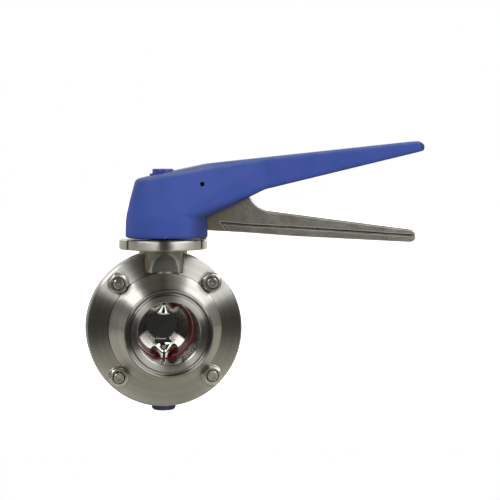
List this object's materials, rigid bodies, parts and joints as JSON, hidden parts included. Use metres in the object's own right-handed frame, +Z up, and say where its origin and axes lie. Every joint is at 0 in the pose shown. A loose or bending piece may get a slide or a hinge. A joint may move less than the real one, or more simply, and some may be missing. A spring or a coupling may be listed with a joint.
{
  "type": "sanitary butterfly valve",
  "caption": "Stainless clamp-ferrule butterfly shutoff valve with a bolted body, mirror-polished disc and a blue squeeze-trigger lever handle that latches on a notched plate.",
  "frame": {"origin": "where the stem axis crosses the flow axis, at the middle of the body joint", "axes": "+Y along the flow bore from the nut side to the bolt-head side, +Z up the stem, +X along the handle when the valve is shut"},
  "size_m": [0.2002, 0.07, 0.1573],
  "materials": {
    "turned_steel": "lathe-turned satin stainless steel",
    "cast_steel": "tumbled satin cast stainless steel",
    "mirror_steel": "mirror-polished stainless steel",
    "fastener_steel": "bright plain stainless steel",
    "spring_steel": "dark oiled spring steel",
    "silicone": "smooth dark red silicone",
    "black_rubber": "smooth black rubber",
    "blue_nylon": "fine-textured moulded blue nylon",
    "cap_plastic": "smooth moulded blue plastic",
    "navy_plastic": "smooth moulded navy plastic"
  },
  "bodies": {
    "valve_body": {"front_body_half": "turned_steel", "rear_body_half": "turned_steel", "neck_tube": "turned_steel", "index_plate": "turned_steel", "seat_ring": "silicone", "upper_bush": "navy_plastic", "lower_bush": "navy_plastic", "flange_bolts": "fastener_steel", "flange_nuts": "fastener_steel", "nut_washers": "fastener_steel", "head_washers": "fastener_steel"},
    "handle": {"disc": "mirror_steel", "upper_stem": "mirror_steel", "lower_trunnion": "mirror_steel", "stem_o_rings": "black_rubber", "handle_shell": "blue_nylon", "drive_insert": "cast_steel", "handle_screw": "fastener_steel", "screw_washer": "fastener_steel", "cap_plug": "cap_plastic", "trigger_pin": "spring_steel", "trigger_spring": "spring_steel"},
    "trigger": {"trigger": "cast_steel"}
  },
  "joints": [
    {"name": "stem_turn", "type": "hinge", "parent": "valve_body", "child": "handle", "pos_m": [0, 0, 0], "axis": [0, 0, 1], "range_deg": [0, 90]},
    {"name": "trigger_squeeze", "type": "hinge", "parent": "handle", "child": "trigger", "pos_m": [0.0211, 0, 0.0839], "axis": [0, -1, 0], "range_deg": [0, 10], "stiffness_Nm_per_rad": 0.5, "springref_deg": -28.65}
  ]
}
